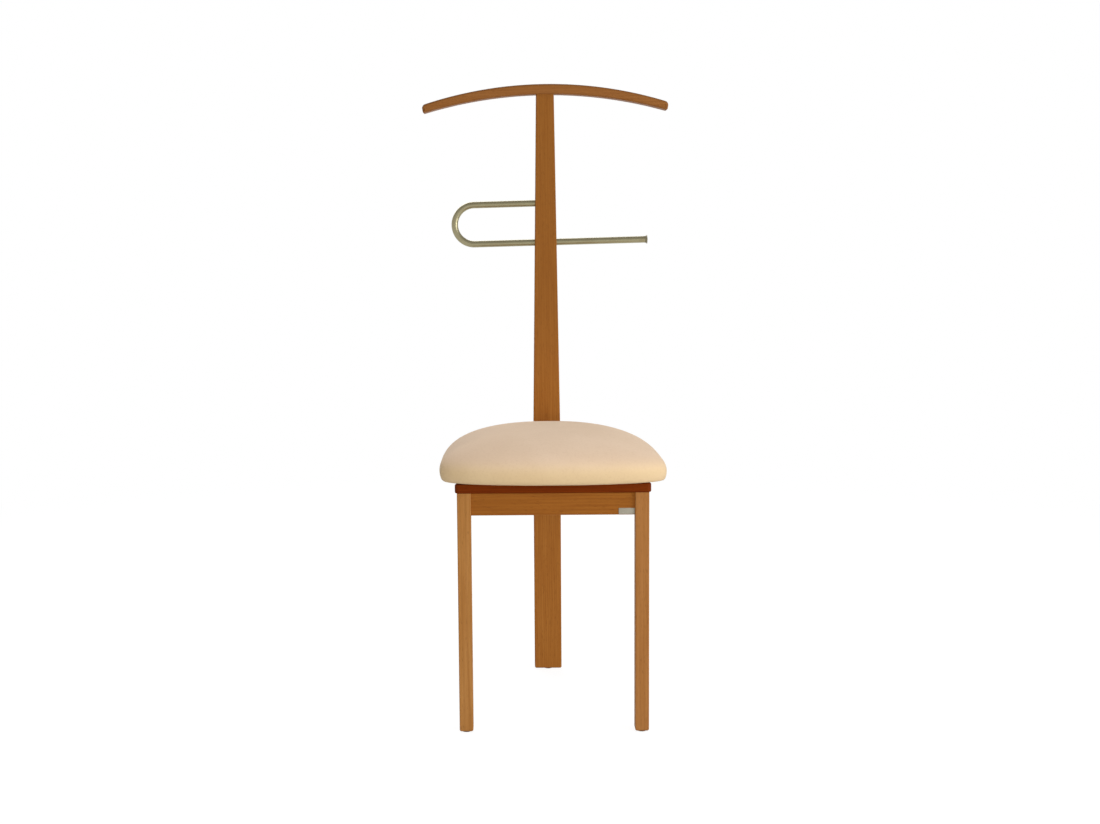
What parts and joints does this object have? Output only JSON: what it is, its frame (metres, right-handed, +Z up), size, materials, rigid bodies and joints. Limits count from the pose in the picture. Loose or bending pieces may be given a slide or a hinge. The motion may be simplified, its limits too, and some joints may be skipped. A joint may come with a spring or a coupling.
{
  "type": "clothes valet chair",
  "caption": "Three-legged bedroom valet chair with a padded seat, a tall rear post, a bowed jacket hanger and a bent metal trouser bar.",
  "frame": {"origin": "middle of the chair at floor level: half its width, half its depth, at the undersides of the glides", "axes": "+Z up, +X to the viewer's right when looking at the front of the chair, -Y towards the front"},
  "size_m": [0.444, 0.431, 1.08],
  "materials": {
    "wood": "satin lacquered beech, stained light walnut",
    "board_wood": "satin, stained dark red-brown",
    "raw_wood": "bare",
    "cover_fabric": "cream suede-like microfibre",
    "foam": "upholstery foam",
    "dust_cloth": "black non-woven cloth",
    "satin_metal": "satin champagne",
    "zinc_steel": "zinc plated",
    "glide_plastic": "matte brown"
  },
  "bodies": {
    "root": {"left_front_leg": "wood", "right_front_leg": "wood", "rear_post": "wood", "front_rail": "wood", "left_side_rail": "wood", "right_side_rail": "wood", "rear_rail": "wood", "left_corner_block": "raw_wood", "right_corner_block": "raw_wood", "corner_block_screws": "zinc_steel", "rail_dowels": "raw_wood", "seat_board": "board_wood", "board_screws": "zinc_steel", "cushion_base": "raw_wood", "cushion_foam": "foam", "cushion_cover": "cover_fabric", "cushion_dust_cloth": "dust_cloth", "cushion_screws": "zinc_steel", "jacket_hanger": "wood", "hanger_dowels": "raw_wood", "trouser_bar": "satin_metal", "trouser_bar_end_cap": "satin_metal", "bar_fixing_screw": "zinc_steel", "post_bolts": "zinc_steel", "post_insert_nuts": "zinc_steel", "left_front_glide": "glide_plastic", "right_front_glide": "glide_plastic", "rear_glide": "glide_plastic"}
  },
  "joints": []
}
